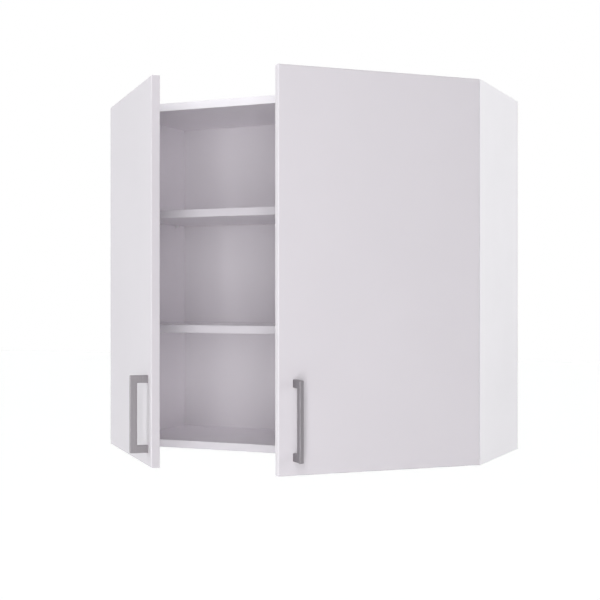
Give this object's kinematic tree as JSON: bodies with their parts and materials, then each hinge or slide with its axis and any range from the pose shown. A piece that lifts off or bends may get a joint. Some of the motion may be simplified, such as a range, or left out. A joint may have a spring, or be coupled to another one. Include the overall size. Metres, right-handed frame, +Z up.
{
  "type": "wall cabinet",
  "caption": "Wall cabinet with a pair of hinged doors on concealed hinges, shelves on pins, bow handles and hanging plates at the upper rear corners.",
  "frame": {"origin": "on the wall plane, midway between the two hanging holes", "axes": "+X to the right seen from the front, +Y into the wall, +Z up"},
  "size_m": [0.8034, 0.5799, 0.716],
  "materials": {
    "carcass_board": "chipboard faced with white melamine, fine satin grain",
    "door_board": "matt white foil on board",
    "back_board": "hardboard with a white lacquered face",
    "edge_band": "white ABS edge band",
    "handle_metal": "brushed satin grey",
    "hinge_steel": "nickel plated",
    "fastener_steel": "bright zinc plated",
    "hanging_steel": "zinc plated sheet",
    "cam_zinc": "die-cast zinc",
    "dowel_wood": "plain beech",
    "pin_plastic": "white moulded polyamide",
    "pad_rubber": "clear soft pads"
  },
  "bodies": {
    "carcass": {"left_side_panel": "carcass_board", "right_side_panel": "carcass_board", "top_panel": "carcass_board", "bottom_panel": "carcass_board", "back_panel": "back_board", "upper_shelf": "carcass_board", "lower_shelf": "carcass_board", "left_side_edge_band": "edge_band", "right_side_edge_band": "edge_band", "top_edge_band": "edge_band", "bottom_edge_band": "edge_band", "upper_shelf_edge_band": "edge_band", "lower_shelf_edge_band": "edge_band", "upper_shelf_pins": "pin_plastic", "lower_shelf_pins": "pin_plastic", "left_hanging_plate": "hanging_steel", "right_hanging_plate": "hanging_steel", "hanging_plate_screws": "fastener_steel", "top_cam_locks": "cam_zinc", "bottom_cam_locks": "cam_zinc", "top_cam_bolts": "fastener_steel", "bottom_cam_bolts": "fastener_steel", "top_dowels": "dowel_wood", "bottom_dowels": "dowel_wood", "left_upper_mounting_plate": "hinge_steel", "left_upper_hinge_arm": "hinge_steel", "left_lower_mounting_plate": "hinge_steel", "left_lower_hinge_arm": "hinge_steel", "left_mounting_plate_screws": "fastener_steel", "left_hinge_arm_screws": "fastener_steel", "left_arm_pins": "fastener_steel", "right_upper_mounting_plate": "hinge_steel", "right_upper_hinge_arm": "hinge_steel", "right_lower_mounting_plate": "hinge_steel", "right_lower_hinge_arm": "hinge_steel", "right_mounting_plate_screws": "fastener_steel", "right_hinge_arm_screws": "fastener_steel", "right_arm_pins": "fastener_steel"},
    "left_links": {"left_upper_hinge_link": "hinge_steel", "left_lower_hinge_link": "hinge_steel"},
    "left_door": {"left_door_panel": "door_board", "left_handle": "handle_metal", "left_handle_screws": "fastener_steel", "left_upper_hinge_cup": "hinge_steel", "left_lower_hinge_cup": "hinge_steel", "left_cup_pins": "fastener_steel", "left_cup_screws": "fastener_steel", "left_bumper_pads": "pad_rubber"},
    "right_links": {"right_upper_hinge_link": "hinge_steel", "right_lower_hinge_link": "hinge_steel"},
    "right_door": {"right_door_panel": "door_board", "right_handle": "handle_metal", "right_handle_screws": "fastener_steel", "right_upper_hinge_cup": "hinge_steel", "right_lower_hinge_cup": "hinge_steel", "right_cup_pins": "fastener_steel", "right_cup_screws": "fastener_steel", "right_bumper_pads": "pad_rubber"}
  },
  "joints": [
    {"name": "right_door_swing", "type": "hinge", "parent": "right_links", "child": "right_door", "pos_m": [0.38624, -0.2899, -0.326], "axis": [0, 0, 1], "range_deg": [-64.4, 89.6]},
    {"name": "right_link_turn", "type": "hinge", "parent": "carcass", "child": "right_links", "pos_m": [0.372, -0.282, -0.326], "axis": [0, 0, 1], "range_deg": [-26, 18.8]},
    {"name": "left_door_swing", "type": "hinge", "parent": "left_links", "child": "left_door", "pos_m": [-0.38624, -0.2899, -0.326], "axis": [0, 0, -1], "range_deg": [-64.4, 89.6]},
    {"name": "left_link_turn", "type": "hinge", "parent": "carcass", "child": "left_links", "pos_m": [-0.372, -0.282, -0.326], "axis": [0, 0, -1], "range_deg": [-26, 18.8]}
  ],
  "couplings": [
    {"joint": "right_link_turn", "follows": "right_door_swing", "ratio": -0.28571},
    {"joint": "left_link_turn", "follows": "left_door_swing", "ratio": -0.28571}
  ]
}
